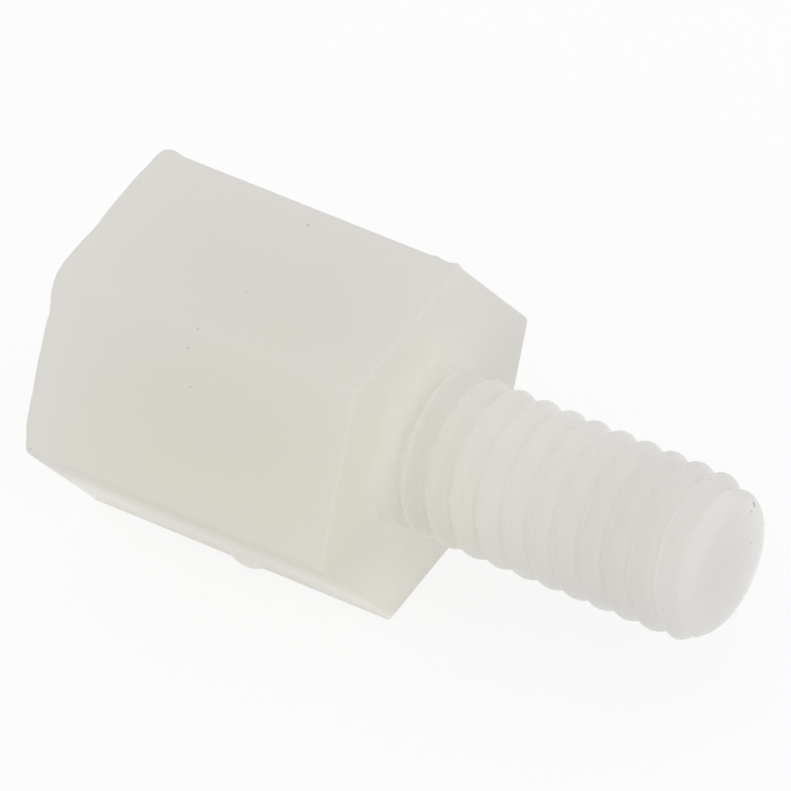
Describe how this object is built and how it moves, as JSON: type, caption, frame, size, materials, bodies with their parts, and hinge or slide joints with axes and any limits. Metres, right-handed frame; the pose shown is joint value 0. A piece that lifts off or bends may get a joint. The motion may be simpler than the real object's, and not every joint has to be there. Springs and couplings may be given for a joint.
{
  "type": "hex standoff",
  "caption": "Hexagonal standoff in milky natural nylon, with a threaded stud on its shoulder and a tapped blind hole in the far end of its body.",
  "frame": {"origin": "centre of the shoulder's seating face, on the axis of the thread", "axes": "+X along the axis, from the shoulder to the stud's tip; +Z square to the upper flat, so the part lies on the opposite flat"},
  "size_m": [0.012, 0.0064, 0.0056],
  "materials": {
    "nylon": "satin, milky translucent natural nylon as moulded"
  },
  "bodies": {
    "root": {"standoff": "nylon"}
  },
  "joints": []
}
